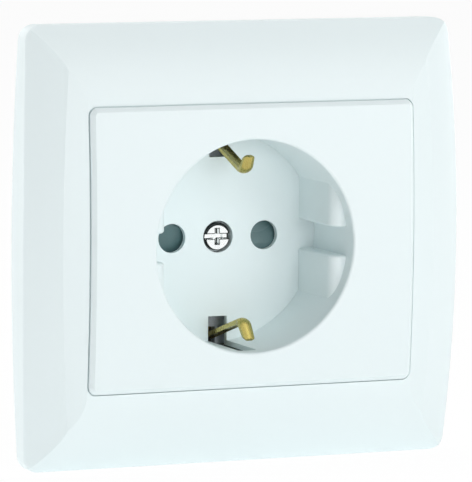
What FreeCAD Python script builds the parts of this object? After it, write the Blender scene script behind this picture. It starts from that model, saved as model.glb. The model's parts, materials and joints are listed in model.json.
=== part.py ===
import FreeCAD, Part
import math
import os
from FreeCAD import Vector

# Flush socket outlet for two round pins with side earth clips.
# All sizes are in millimetres. X points right and Z up, seen from the room, and the
# front faces -Y. The wall surface is the plane y = 0, so what sits in the wall box has y > 0.

# Front, as it stands on the wall
front_height = 11.8
crown_radius = 315.0

# Centre plate, the moulding that carries the plug well
plate_width = 65.5
plate_height = 53.2
plate_corner = 1.5
plate_edge_chamfer = 0.8
plate_proud = 1.06
plate_step_depth = 0.5
plate_step_clearance = 0.05
plate_thickness = 2.2
plate_skirt_wall = 1.8
plate_gap = 0.25

# Cover frame round the centre plate
frame_width = 88.6
frame_height = 83.2
frame_bow = 1.34
frame_corner = 3.0
frame_wall = 2.0
frame_side_height = 5.85
frame_margin_width = 4.8
frame_margin_drop = 1.24
frame_bevel_bulge = 0.22
frame_bevel_lead = 2.0
frame_top_height = 3.12
frame_edge_round = 0.4
frame_inner_wall = 1.5
frame_ledge_width = 1.6
frame_ledge_height = 1.4
frame_ledge_front = 5.6

# Plug well
well_radius = 20.0
well_depth = 18.3
well_wall = 1.35
well_floor = 1.2
mouth_round = 0.5
guide_half_gap = 16.75
guide_setback = 3.0
guide_nose_round = 2.2
guide_groove = 5.5
guide_edge_round = 0.5

# Pin holes, 19 mm apart as on every plug of this system
pin_pitch = 19.0
pin_hole_diameter = 5.55
pin_diameter = 4.8
pin_length = 19.0

# Earth clip slots in the well
slot_width = 3.85
slot_inner = 15.2
slot_outer = 21.1
slot_head = 4.0
slot_cheek = 1.5
slot_back = 0.9
slot_relief_side = 0.6
slot_relief_depth = 14.0

# Cover screw in the middle of the well floor
screw_recess_diameter = 6.1
screw_recess_depth = 2.2
screw_head_diameter = 5.3
screw_head_height = 1.8
screw_diameter = 3.0
screw_slot_width = 1.0
screw_slot_depth = 1.0
screw_cross_span = 3.0
screw_cross_width = 0.85
screw_cross_depth = 1.45
screw_head_round = 0.25
screw_clearance = 0.2
thread_clearance = 0.05
cover_screw_grip = 11.3

# Shutter behind the well floor
boss_radius = 4.2
shutter_room = 3.5
shutter_float = 0.25
shutter_running = 0.08
shutter_hub_radius = 6.4
shutter_radius = 13.6
shutter_half_angle = 19.0
shutter_ramp_drop = 1.3
shutter_ramp_start = -1.8
shutter_lug_radius = 16.6
shutter_lug_angle = 5.0
spring_offset = 0.2
spring_wire = 0.35
spring_diameter = 2.1
spring_turns = 6
spring_wire_sides = 8
spring_end_gap = 0.15
spring_post_width = 2.4
spring_post_depth = 1.2
spring_post_z = -12.2

# Contact cover, the insulating disc over the contacts
contact_cover_thickness = 2.0
contact_cover_clearance = 0.2
clip_pass_inner = 17.8
clip_pass_clearance = 0.3

# Base housing behind the wall surface
base_front_gap = 0.3
base_side_wall = 1.0
base_end_wall = 1.8
base_corner_cut = 7.0
base_back_wall = 1.5
base_bore_clearance = 0.25
chamber_clearance = 0.4
back_rib_height = 1.2
back_rib_width = 1.2
back_rib_z = 3.0
strap_clearance = 0.15
bush_clearance = 0.1
chamber_screw_room = 2.4

# Pin contacts, folded from bronze strip
contact_sheet = 0.6
contact_width = 5.0
contact_mouth = 3.5
contact_grip = 0.1
contact_belly = 3.0
contact_bottom_room = 3.0
contact_bend = 0.9
contact_turn = 0.7
contact_foot = 2.6
contact_lap = 1.0
contact_mouth_depth = 2.0
contact_grip_depth = 6.0
tab_width = 6.4

# Terminals: a screw that pulls a clamp plate against the contact
terminal_x = 11.0
terminal_z = 11.2
terminal_length = 8.8
terminal_screw_head = 5.0
terminal_screw_head_height = 1.8
terminal_screw_length = 7.3
clamp_thickness = 2.0
clamp_wire_room = 2.6
clamp_groove_radius = 1.4
clamp_groove_depth = 0.5
wire_hole_diameter = 3.2
wire_hole_offset = 3.1
terminal_slot_width = 0.8
terminal_slot_depth = 0.8

# Earth strap, one brass bow with a spring clip at each end
strap_thickness = 0.8
strap_width = 8.0
clip_width = 2.4
clip_arm_width = 2.0
clip_flare = 1.5
clip_dish = 0.5
clip_slit = 0.9
clip_root_z = 20.6
clip_root_length = 2.6
clip_bend = 1.6
clip_tip_width = 2.0
clip_tip_round = 0.95
upper_knee_depth = 5.6
upper_knee_z = 13.7
upper_tip_depth = 4.0
upper_tip_z = 16.9
lower_knee_depth = 5.84
lower_knee_z = 14.73
lower_tip_depth = 3.24
lower_tip_z = 18.1
prong_stand_out = 0.5
prong_clearance = 0.1

# Threaded bush for the cover screw
bush_radius = 3.0
bush_collar_radius = 4.0
bush_collar = 1.0
bush_length = 8.8

# Support plate, the steel sheet that is screwed to the wall box
support_inset_x = 8.8
support_inset_z = 6.1
support_corner = 6.0
support_sheet = 1.0
support_opening_clearance = 1.05
support_leg_width = 12.0
support_leg_length = 18.0
support_rim_height = 1.0
support_leg_corner = 2.0
support_leg_relief = 0.6
box_screw_spacing = 60.0
box_slot_width = 4.0
box_slot_length = 7.6
rivet_diameter = 2.5
rivet_head_diameter = 4.4
rivet_head_height = 0.8
rivet_head_round = 0.48
rivet_grip = 3.4
rivet_y = 16.2

# Spreading claws, one at each side
claw_room = 0.5
claw_nut_y = 18.0
claw_sheet = 1.0
claw_half_inside = 3.2
claw_heel_radius = 2.5
claw_shoulder_x = 2.0
claw_shoulder_y = 1.5
claw_reach = 13.0
claw_out = 3.2
claw_nose_width = 0.8
claw_nose_back = 1.4
claw_nose_slope = 1.6
claw_web_length = 10.0
claw_tooth = 0.5
claw_tooth_pitch = 2.0
claw_tooth_count = 3
claw_trunnion_stand_out = 0.4
claw_nut_radius = 2.4
claw_nut_clearance = 0.2
claw_trunnion_radius = 1.3
claw_running = 0.05
claw_screw_diameter = 3.0
claw_screw_head = 4.6
claw_screw_head_height = 2.0
claw_screw_length = 24.0

# Cutting pieces run past what they cut, joined pieces lap, and points closer than this are one
over = 1.0
lap = 0.5
same = 1e-6

# Levels worked out from the sizes above, as y in the socket's frame
plate_front = -front_height
floor_front = plate_front + well_depth
floor_back = floor_front + well_floor
cover_front = floor_back + shutter_room
cover_back = cover_front + contact_cover_thickness
ledge_front = -frame_ledge_front
strap_back = cover_back + strap_thickness
shoulder_back = cover_back + contact_sheet
well_outer = well_radius + well_wall
slot_box_outer = slot_outer + slot_back
slot_box_half = slot_width / 2 + slot_cheek
base_bore = well_outer + base_bore_clearance
base_front = floor_back + base_front_gap
base_half_width = base_bore + base_side_wall
base_half_height = base_bore + base_end_wall
claw_x = base_half_width + claw_nut_radius + claw_room
support_width = frame_width - 2 * support_inset_x
support_height = frame_height - 2 * support_inset_z
pin_radius = pin_diameter / 2
pin_tip = floor_front + pin_length
contact_end = pin_tip + contact_bottom_room + contact_sheet + chamber_clearance
base_depth = contact_end + base_back_wall
support_opening = well_outer + support_opening_clearance
sleeve_back = -support_sheet - support_rim_height
spring_x = (shutter_radius + shutter_lug_radius) / 2 + spring_offset
shutter_front = floor_back + shutter_float
shutter_back = cover_front - shutter_float

SIDES = {"left": -1, "right": 1}


def block(x0, x1, y0, y1, z0, z1):
    return Part.makeBox(x1 - x0, y1 - y0, z1 - z0, Vector(x0, y0, z0))


def rod_y(x, z, y0, y1, radius):
    return Part.makeCylinder(radius, y1 - y0, Vector(x, y0, z), Vector(0, 1, 0))


def rod_z(x, y, z0, z1, radius):
    return Part.makeCylinder(radius, z1 - z0, Vector(x, y, z0), Vector(0, 0, 1))


def rod_x(y, z, x0, x1, radius):
    return Part.makeCylinder(radius, x1 - x0, Vector(x0, y, z), Vector(1, 0, 0))


def rounded_block(width, height, y0, y1, corner):
    """A block centred on the Y axis with its four corners rounded."""
    body = block(-width / 2, width / 2, y0, y1, -height / 2, height / 2)
    along_y = [edge for edge in body.Edges if is_along(edge, Vector(0, 1, 0))]
    return body.makeFillet(corner, along_y)


def is_along(edge, direction):
    if edge.Curve.TypeId != "Part::GeomLine":
        return False
    start, end = edge.Vertexes[0].Point, edge.Vertexes[-1].Point
    return end.sub(start).cross(direction).Length < same


def mirrored(shape):
    """The same piece on the other side of the plane x = 0."""
    return shape.mirror(Vector(0, 0, 0), Vector(1, 0, 0))


def flipped(shape):
    """The same piece on the other side of the plane z = 0."""
    return shape.mirror(Vector(0, 0, 0), Vector(0, 0, 1))


def profile_x(points, x0, x1):
    """A closed outline of (y, z) points, made solid from x0 to x1."""
    wire = Part.makePolygon([Vector(x0, y, z) for y, z in points + points[:1]])
    return Part.Face(wire).extrude(Vector(x1 - x0, 0, 0))


def crown(depth):
    """The round bar whose front is the crowned surface at this depth under the plate."""
    radius = crown_radius - depth
    return rod_x(plate_front + crown_radius, 0, -frame_width, frame_width, radius)


def bent_line(path, bend, shift):
    """Edges along a path of (y, z) points at x = 0, shifted to its left, with an arc at each bend."""
    edges = []
    last = offset_point(path[0], heading(path[0], path[1]), shift)
    for previous, corner, following in zip(path, path[1:], path[2:]):
        before, after = heading(previous, corner), heading(corner, following)
        turn = math.atan2(cross(before, after), dot(before, after))
        reach = bend * math.tan(abs(turn) / 2)
        entry = (corner[0] - before[0] * reach, corner[1] - before[1] * reach)
        leave = (corner[0] + after[0] * reach, corner[1] + after[1] * reach)
        centre = offset_point(entry, before, math.copysign(bend, turn))
        middle_way = heading(centre, corner)
        radius = bend - math.copysign(shift, shift * turn)
        top = (centre[0] + middle_way[0] * radius, centre[1] + middle_way[1] * radius)
        first, final = offset_point(entry, before, shift), offset_point(leave, after, shift)
        edges.append(Part.LineSegment(at(last), at(first)).toShape())
        edges.append(Part.Arc(at(first), at(top), at(final)).toShape())
        last = final
    end = offset_point(path[-1], heading(path[-2], path[-1]), shift)
    return edges + [Part.LineSegment(at(last), at(end)).toShape()]


def strip(path, sheet, bend, x0, x1):
    """Flat sheet bent along a path of (y, z) points."""
    below, above = bent_line(path, bend, -sheet / 2), bent_line(path, bend, sheet / 2)
    caps = [Part.LineSegment(below[end].Vertexes[end].Point, above[end].Vertexes[end].Point).toShape()
            for end in (0, -1)]
    face = Part.Face(Part.Wire(Part.sortEdges(below + above + caps)[0]))
    face.translate(Vector(x0, 0, 0))
    return face.extrude(Vector(x1 - x0, 0, 0))


def dished_strip(path, sheet, bend, width, dish):
    """The same with a section that is dished, hollow on the outside of the path's bends."""
    y, z = path[0]
    half = width / 2
    faces = []
    for edge_y in (y - sheet / 2, y + sheet / 2):
        faces.append(Part.Arc(Vector(-half, edge_y, z), Vector(0, edge_y - dish, z),
                              Vector(half, edge_y, z)).toShape())
    ends = [Part.LineSegment(Vector(x, y - sheet / 2, z), Vector(x, y + sheet / 2, z)).toShape()
            for x in (-half, half)]
    section = Part.Wire(Part.sortEdges(faces + ends)[0])
    return Part.Wire(bent_line(path, bend, 0)).makePipeShell([section], True, False)


def at(point):
    return Vector(0, point[0], point[1])


def heading(start, end):
    length = math.hypot(end[0] - start[0], end[1] - start[1])
    return ((end[0] - start[0]) / length, (end[1] - start[1]) / length)


def cross(a, b):
    return a[0] * b[1] - a[1] * b[0]


def dot(a, b):
    return a[0] * b[0] + a[1] * b[1]


def offset_point(point, direction, distance):
    """The point moved to the left of its direction by a distance."""
    return (point[0] - direction[1] * distance, point[1] + direction[0] * distance)


def frame_outline(inset, y0, y1):
    """The frame seen from the front: straight above and below, bowed at the sides."""
    half_height = frame_height / 2 - inset
    middle = frame_width / 2 - inset
    corner = middle - frame_bow
    side = {}
    for sign in (-1, 1):
        side[sign] = Part.Arc(Vector(sign * corner, y0, -sign * half_height),
                              Vector(sign * middle, y0, 0),
                              Vector(sign * corner, y0, sign * half_height)).toShape()
    top = Part.LineSegment(Vector(corner, y0, half_height), Vector(-corner, y0, half_height))
    foot = Part.LineSegment(Vector(-corner, y0, -half_height), Vector(corner, y0, -half_height))
    wire = Part.Wire(Part.sortEdges([side[1], top.toShape(), side[-1], foot.toShape()])[0])
    body = Part.Face(wire).extrude(Vector(0, y1 - y0, 0))
    upright = [edge for edge in body.Edges if is_along(edge, Vector(0, 1, 0))]
    return body.makeFillet(frame_corner - inset, upright)


def frame_margin_form(inset):
    """The margins beside the centre plate, carried round the crown and on past the bevels."""
    inner = plate_width / 2 + plate_gap
    edge = frame_width / 2 + over
    y_inner = plate_front + plate_proud + inset
    y_edge = y_inner + (edge - inner) * frame_margin_drop / frame_margin_width
    corners = [(-edge, front_height), (-edge, y_edge), (-inner, y_inner),
               (inner, y_inner), (edge, y_edge), (edge, front_height)]
    wire = Part.makePolygon([Vector(x, y, 0) for x, y in corners + corners[:1]])
    return turned_each_way(Part.Face(wire), Vector(0, plate_front + crown_radius, 0),
                           Vector(1, 0, 0), crown_radius - 2 * front_height)


def turned_each_way(face, centre, axis, radius):
    """A section at z = 0 swung up and down until it has passed the frame's ends."""
    half_turn = math.degrees(math.asin((frame_height / 2 + over) / radius))
    face.rotate(centre, axis, -half_turn)
    return face.revolve(centre, axis, 2 * half_turn)


def frame_bevel_cut(inset):
    """What the right bevel takes off: its bend line bows with the side and drops with the crown."""
    bend = (plate_width / 2 + plate_gap + frame_margin_width,
            plate_front + plate_proud + frame_margin_drop + inset)
    edge = (frame_width / 2, -frame_side_height + inset)
    slope = heading(bend, edge)
    near = (bend[0] - slope[0] * frame_bevel_lead, bend[1] - slope[1] * frame_bevel_lead)
    far = (edge[0] + slope[0] * over, edge[1] + slope[1] * over)
    middle = ((bend[0] + far[0]) / 2, (bend[1] + far[1]) / 2)
    bulge = offset_point(middle, slope, -frame_bevel_bulge)
    corners = [Vector(x, y, 0) for x, y in (near, bend, bulge, far, (far[0], near[1]))]
    sides = [Part.LineSegment(corners[0], corners[1]).toShape(),
             Part.Arc(corners[1], corners[2], corners[3]).toShape(),
             Part.LineSegment(corners[3], corners[4]).toShape(),
             Part.LineSegment(corners[4], corners[0]).toShape()]
    drop = crown_radius - math.sqrt(crown_radius ** 2 - (frame_height / 2) ** 2)
    sag = math.hypot(frame_bow, drop)
    radius = ((frame_height / 2) ** 2 + sag ** 2) / (2 * sag)
    centre = corners[1] + Vector(-frame_bow, drop, 0) * (radius / sag)
    return turned_each_way(Part.Face(Part.Wire(sides)), centre, Vector(drop, frame_bow, 0),
                           radius - front_height)


def frame_brow_form(inset):
    """The crown, rounder above and below the centre plate down to the frame's edges."""
    inner = plate_height / 2 + plate_gap
    radius = crown_radius - plate_proud
    lean = math.asin(inner / radius)
    start = Vector(0, plate_front + crown_radius - radius * math.cos(lean) + inset, inner)
    end = Vector(0, -frame_top_height + inset, frame_height / 2)
    chord = end.sub(start)
    chord_lean = math.atan2(chord.y, chord.z)
    swell = chord.Length / 2 * math.tan((chord_lean - lean) / 2)
    outward = Vector(0, -math.cos(chord_lean), math.sin(chord_lean))
    top = (start + end) * 0.5 + outward * swell
    end_lean = 2 * chord_lean - lean
    past = end + Vector(0, math.sin(end_lean), math.cos(end_lean)) * over
    brow = Part.Arc(start, top, end).toShape()
    middle = Part.Arc(start, Vector(0, plate_front + plate_proud + inset, 0),
                      Vector(0, start.y, -inner)).toShape()
    back = front_height
    run_out = Part.LineSegment(end, past).toShape()
    drop = Part.LineSegment(past, Vector(0, back, past.z)).toShape()
    rear = Part.LineSegment(Vector(0, back, past.z), Vector(0, back, -past.z)).toShape()
    outline = [middle, brow, flipped(brow), run_out, flipped(run_out), drop, flipped(drop), rear]
    face = Part.Face(Part.Wire(Part.sortEdges(outline)[0]))
    face.translate(Vector(-frame_width, 0, 0))
    return face.extrude(Vector(2 * frame_width, 0, 0))


def frame_blank(inset):
    outline = frame_outline(inset, -front_height, inset)
    bevel = frame_bevel_cut(inset)
    blank = outline.common(frame_margin_form(inset)).common(frame_brow_form(inset))
    return blank.cut(bevel).cut(mirrored(bevel))


def is_frame_rim(edge):
    """True for the edges between the frame's front and its sides."""
    box = edge.BoundBox
    if box.YMax > -frame_top_height / 2 or is_along(edge, Vector(0, 1, 0)):
        return False
    middle = edge.valueAt((edge.FirstParameter + edge.LastParameter) / 2)
    near_top = abs(middle.z) > frame_height / 2 - frame_corner
    return near_top or abs(middle.x) > frame_width / 2 - frame_bow - frame_corner


def cover_frame():
    body = frame_blank(0)
    body = body.makeFillet(frame_edge_round, [e for e in body.Edges if is_frame_rim(e)])
    shell = body.cut(frame_blank(frame_wall))
    open_width = plate_width + 2 * plate_gap
    open_height = plate_height + 2 * plate_gap
    corner = plate_corner + plate_gap
    sleeve = rounded_block(open_width + 2 * frame_inner_wall, open_height + 2 * frame_inner_wall,
                           -front_height, sleeve_back, corner + frame_inner_wall)
    shell = shell.fuse(sleeve.common(body))
    window = rounded_block(open_width, open_height, -front_height - over, ledge_front, corner)
    shell = shell.cut(window)
    mouth = rounded_block(open_width - 2 * frame_ledge_width, open_height - 2 * frame_ledge_width,
                          ledge_front - over, over, corner)
    shell = shell.cut(mouth)
    under = rounded_block(open_width, open_height, ledge_front + frame_ledge_height, over, corner)
    return shell.cut(under).removeSplitter()


def plate_panel():
    """The crowned front with its skirt, hollow behind."""
    blank = rounded_block(plate_width, plate_height, plate_front - over, ledge_front, plate_corner)
    panel = blank.common(crown(0))
    fronts = [f for f in panel.Faces if abs(getattr(f.Surface, "Radius", 0) - crown_radius) < same]
    panel = panel.makeChamfer(plate_edge_chamfer, fronts[0].Edges)
    step = plate_gap - plate_step_clearance
    flange = rounded_block(plate_width + 2 * step, plate_height + 2 * step, plate_front, ledge_front,
                           plate_corner + step)
    panel = panel.fuse(flange.common(crown(plate_proud + plate_step_depth)))
    room = rounded_block(plate_width - 2 * plate_skirt_wall, plate_height - 2 * plate_skirt_wall,
                         plate_front, ledge_front + over, plate_corner)
    return panel.cut(room.common(crown(plate_thickness)))


def guide_blocks():
    """The flats at both sides of the well that stop a plug from turning."""
    front = plate_front + guide_setback
    round_bar = rod_y(0, 0, front, floor_front + lap, well_radius + lap)
    half = round_bar.common(block(guide_half_gap, well_outer, front, floor_front + lap,
                                  -well_outer, well_outer))
    half = half.cut(block(0, well_outer, front - over, floor_front + over,
                          -guide_groove / 2, guide_groove / 2))
    nose = [e for e in half.Edges if is_along(e, Vector(0, 0, 1))
            and abs(e.Vertexes[0].Point.x - guide_half_gap) < same
            and abs(e.Vertexes[0].Point.y - front) < same]
    half = half.makeFillet(guide_nose_round, nose)
    lips = [e for e in half.Edges if abs(abs(e.CenterOfMass.z) - guide_groove / 2) < same
            and e.BoundBox.ZLength < same and e.CenterOfMass.x < well_radius - lap
            and e.CenterOfMass.y < floor_front]
    half = half.makeFillet(guide_edge_round, lips)
    return half.fuse(mirrored(half))


def earth_slot_box():
    """The raised back of the earth slots, outside the well, above and below."""
    return block(-slot_box_half, slot_box_half, plate_front + slot_head - slot_back, floor_back,
                 -slot_box_outer, slot_box_outer)


def centre_plate():
    body = plate_panel()
    tube = rod_y(0, 0, plate_front, floor_back, well_outer)
    tube = tube.fuse(earth_slot_box()).fuse(rod_y(0, 0, floor_back, cover_front, boss_radius))
    body = body.fuse(tube.common(crown(0)))
    body = body.cut(rod_y(0, 0, plate_front - over, floor_front, well_radius))
    mouth = [e for e in body.Edges if e.CenterOfMass.y < plate_front + 2
             and e.BoundBox.XLength > well_radius and e.BoundBox.XLength < 2 * well_radius + 1]
    body = body.makeFillet(mouth_round, mouth)
    body = body.fuse(guide_blocks())
    for side in (-1, 1):
        body = body.cut(rod_y(side * pin_pitch / 2, 0, floor_front - over, floor_back + over,
                              pin_hole_diameter / 2))
        z0, z1 = sorted((side * slot_inner, side * slot_outer))
        body = body.cut(block(-slot_width / 2, slot_width / 2, plate_front + slot_head,
                              floor_back + over, z0, z1))
        x0, x1 = sorted((side * slot_width / 2, -side * slot_relief_side))
        z0, z1 = sorted((side * (slot_outer - lap), side * (slot_box_outer + over)))
        body = body.cut(block(x0, x1, plate_front + slot_relief_depth, floor_back + over, z0, z1))
    seat = floor_front + screw_recess_depth
    body = body.cut(rod_y(0, 0, floor_front - over, seat, screw_recess_diameter / 2))
    body = body.cut(rod_y(0, 0, seat - over, cover_front + over, screw_diameter / 2 + screw_clearance))
    return body.removeSplitter()


def slotted_head(x, z, y0, y1, radius, slot_width, slot_depth, cross_span, cross_width):
    """A cheese head with a slot across it and, where a span is given, a cross as well."""
    head = rod_y(x, z, y0, y1, radius)
    rim = [e for e in head.Edges if abs(e.CenterOfMass.y - y0) < same and e.Closed]
    head = head.makeFillet(screw_head_round, rim)
    head = head.cut(block(x - radius - over, x + radius + over, y0 - over, y0 + slot_depth,
                          z - slot_width / 2, z + slot_width / 2))
    if cross_span > 0:
        head = head.cut(block(x - cross_width / 2, x + cross_width / 2, y0 - over,
                              y0 + screw_cross_depth, z - cross_span / 2, z + cross_span / 2))
        head = head.cut(block(x - cross_span / 2, x + cross_span / 2, y0 - over,
                              y0 + screw_cross_depth, z - cross_width / 2, z + cross_width / 2))
    return head


def cover_screw():
    seat = floor_front + screw_recess_depth
    head = slotted_head(0, 0, seat - screw_head_height, seat, screw_head_diameter / 2,
                        screw_slot_width, screw_slot_depth, screw_cross_span, screw_cross_width)
    shank = rod_y(0, 0, seat, seat + cover_screw_grip, screw_diameter / 2)
    return head.fuse(shank).removeSplitter()


def sector(radius, y0, y1, low, high):
    """A slice of a disc about the Y axis, its angles counted from +X towards +Z."""
    points = [Vector(0, y0, 0)]
    for angle in (low, high):
        points.append(Vector(radius * math.cos(math.radians(angle)), y0,
                             radius * math.sin(math.radians(angle))))
    middle = math.radians((low + high) / 2)
    top = Vector(radius * math.cos(middle), y0, radius * math.sin(middle))
    edges = [Part.LineSegment(points[0], points[1]).toShape(),
             Part.Arc(points[1], top, points[2]).toShape(),
             Part.LineSegment(points[2], points[0]).toShape()]
    return Part.Face(Part.Wire(edges)).extrude(Vector(0, y1 - y0, 0))


def shutter_wing():
    """One wing, thinner towards its rear edge so that a pin pushes it aside."""
    wing = sector(shutter_radius, shutter_front, shutter_back,
                  -shutter_half_angle, shutter_half_angle)
    half_span = shutter_radius * math.sin(math.radians(shutter_half_angle))
    wedge = profile_x([(shutter_front - over, shutter_ramp_start), (shutter_front, shutter_ramp_start),
                       (shutter_front + shutter_ramp_drop, half_span + lap),
                       (shutter_front - over, half_span + lap)], 0, shutter_radius + over)
    return wing.cut(wedge)


def shutter():
    hub = rod_y(0, 0, shutter_front, shutter_back, shutter_hub_radius)
    body = hub
    for turn in (0, 180):
        wing = shutter_wing()
        wing.rotate(Vector(0, 0, 0), Vector(0, 1, 0), turn)
        body = body.fuse(wing)
    high = shutter_half_angle
    lug = sector(shutter_lug_radius, shutter_front + shutter_ramp_drop, shutter_back,
                 high - shutter_lug_angle, high)
    body = body.fuse(lug)
    bore = rod_y(0, 0, shutter_front - over, shutter_back + over, boss_radius + shutter_running)
    return body.cut(bore).removeSplitter()


def shutter_spring():
    """A coil between the shutter's lug and the post on the contact cover."""
    lug_low = math.radians(shutter_half_angle - shutter_lug_angle)
    high = (spring_x - spring_diameter / 2) * math.tan(lug_low)
    low = spring_post_z + spring_end_gap
    radius = (spring_diameter - spring_wire) / 2
    length = high - low - spring_wire - spring_end_gap
    helix = Part.makeHelix(length / spring_turns, length, radius)
    places = []
    for index in range(spring_wire_sides + 1):
        angle = 2 * math.pi * index / spring_wire_sides
        across, up = spring_wire / 2 * math.cos(angle), spring_wire / 2 * math.sin(angle)
        places.append(Vector(radius + across, 0, up))
    section = Part.makePolygon(places)
    coil = Part.Wire(helix).makePipeShell([section], True, True)
    coil.translate(Vector(spring_x, (shutter_front + shutter_back) / 2,
                          low + spring_wire / 2))
    return coil


def contact_cover():
    radius = base_bore - contact_cover_clearance
    body = rod_y(0, 0, cover_front, cover_back, radius)
    post = block(spring_x - spring_post_width / 2, spring_x + spring_post_width / 2,
                 shutter_front, cover_front, spring_post_z - spring_post_depth, spring_post_z)
    body = body.fuse(post)
    body = body.cut(rod_y(0, 0, cover_front - over, cover_back + over, screw_diameter / 2 + screw_clearance))
    head_hole = terminal_screw_head / 2 + screw_clearance
    pass_half = clip_width / 2 + clip_pass_clearance
    for side in (-1, 1):
        body = body.cut(rod_y(side * pin_pitch / 2, 0, cover_front - over, cover_back + over,
                              pin_hole_diameter / 2))
        body = body.cut(rod_y(side * terminal_x, -terminal_z, cover_front - over, cover_back + over,
                              head_hole))
        z0, z1 = sorted((side * clip_pass_inner, side * (radius + over)))
        body = body.cut(block(-pass_half, pass_half, cover_front - over, cover_back + over, z0, z1))
    body = body.cut(rod_y(0, terminal_z, cover_front - over, cover_back + over, head_hole))
    return body.removeSplitter()


def clamp_front(sheet_back):
    return sheet_back + clamp_wire_room


def terminal_chamber(x, z, sheet_back):
    """The room for a clamp plate, with two wire holes through to the back."""
    half_width = tab_width / 2 + chamber_clearance
    half_length = terminal_length / 2 + chamber_clearance
    floor = clamp_front(sheet_back) + clamp_thickness + chamber_screw_room
    room = block(x - half_width, x + half_width, cover_back, floor,
                 z - half_length, z + half_length)
    for offset in (-wire_hole_offset, wire_hole_offset):
        room = room.fuse(rod_y(x, z + offset, cover_back, base_depth + over, wire_hole_diameter / 2))
    return room


def contact_tab(grow):
    """The flat tab of the right contact, from the spring leaf to the terminal."""
    x_leaf = pin_pitch / 2
    near = -contact_mouth
    far = -terminal_z - terminal_length / 2
    turn = -terminal_z + terminal_length / 2
    leg = block(x_leaf - contact_width / 2 - grow, x_leaf + contact_width / 2 + grow,
                cover_back, shoulder_back + grow, turn - over, near + grow)
    pad = block(terminal_x - tab_width / 2 - grow, terminal_x + tab_width / 2 + grow,
                cover_back, shoulder_back + grow, far - grow, turn + grow)
    return leg.fuse(pad)


def base_housing():
    back = base_depth
    body = block(-base_half_width, base_half_width, base_front, back, -base_half_height, base_half_height)
    corners = [e for e in body.Edges if is_along(e, Vector(0, 1, 0))]
    body = body.makeChamfer(base_corner_cut, corners)
    body = body.cut(rod_y(0, 0, 0, cover_back, base_bore))
    pin_half = contact_width / 2 + chamber_clearance
    leaf_half = contact_mouth + contact_sheet + chamber_clearance
    strap_half = strap_width / 2 + strap_clearance
    body = body.cut(block(-strap_half, strap_half, cover_back, strap_back,
                          -base_half_height - over, base_half_height + over))
    body = body.cut(rod_y(0, 0, cover_back, strap_back + bush_collar, bush_collar_radius + bush_clearance))
    body = body.cut(rod_y(0, 0, cover_back, cover_back + bush_length + bush_clearance,
                          bush_radius + bush_clearance))
    for side in (-1, 1):
        x = side * pin_pitch / 2
        body = body.cut(block(x - pin_half, x + pin_half, cover_back, contact_end,
                              -leaf_half, leaf_half))
        tab = contact_tab(chamber_clearance / 2)
        body = body.cut(tab if side > 0 else mirrored(tab))
        body = body.cut(terminal_chamber(side * terminal_x, -terminal_z, shoulder_back))
        z0, z1 = sorted((side * (base_half_height - rivet_grip + support_sheet),
                         side * (base_half_height + over)))
        body = body.cut(rod_z(0, rivet_y, z0, z1, rivet_diameter / 2))
        z_slot = sorted((side * slot_inner, side * slot_box_outer))
        body = body.cut(block(-slot_width / 2, slot_width / 2, cover_back,
                              strap_back + clip_bend, z_slot[0], z_slot[1]))
    body = body.cut(terminal_chamber(0, terminal_z, strap_back))
    rib_half = base_half_width - base_corner_cut
    for z in (-back_rib_z, back_rib_z):
        body = body.fuse(block(-rib_half, rib_half, back, back + back_rib_height,
                               z - back_rib_width / 2, z + back_rib_width / 2))
    return body.removeSplitter()


def contact_right():
    """A folded spring that grips the pin between two leaves, with a flat terminal tab."""
    mouth = contact_mouth
    grip = pin_radius - contact_grip + contact_sheet / 2
    belly = contact_belly
    bottom = pin_tip + contact_bottom_room
    middle = contact_sheet / 2
    start = cover_back + middle
    flare = start + contact_mouth_depth
    neck = start + contact_grip_depth
    swell = bottom - contact_grip_depth
    leaf = [(flare, mouth - middle), (neck, grip), (swell, belly), (bottom, belly),
            (bottom, -belly), (swell, -belly), (neck, -grip), (flare, -mouth + middle),
            (start, -mouth - contact_turn), (start, -mouth - contact_foot)]
    x = pin_pitch / 2
    body = strip(leaf, contact_sheet, contact_bend, x - contact_width / 2, x + contact_width / 2)
    tab = contact_tab(0)
    tab = tab.cut(block(0, 2 * pin_pitch, cover_back - over, cover_back + over,
                        -mouth - contact_foot + contact_lap, 0))
    tab = tab.cut(rod_y(terminal_x, -terminal_z, cover_back - over, shoulder_back + over,
                        screw_diameter / 2 + screw_clearance))
    return body.fuse(tab).removeSplitter()


def clamp_plate(x, z, sheet_back):
    """A plate with a groove for each wire and a hole for the terminal screw."""
    front = clamp_front(sheet_back)
    body = block(x - tab_width / 2, x + tab_width / 2, front, front + clamp_thickness,
                 z - terminal_length / 2, z + terminal_length / 2)
    for offset in (-wire_hole_offset, wire_hole_offset):
        body = body.cut(rod_x(front + clamp_groove_depth - clamp_groove_radius, z + offset,
                              x - tab_width, x + tab_width, clamp_groove_radius))
    return body.cut(rod_y(x, z, front - over, front + clamp_thickness + over,
                          screw_diameter / 2 + thread_clearance))


def terminal_screw(x, z):
    head = slotted_head(x, z, cover_back - terminal_screw_head_height, cover_back,
                        terminal_screw_head / 2, terminal_slot_width, terminal_slot_depth, 0, 0)
    shank = rod_y(x, z, cover_back, cover_back + terminal_screw_length, screw_diameter / 2)
    return head.fuse(shank).removeSplitter()


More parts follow.
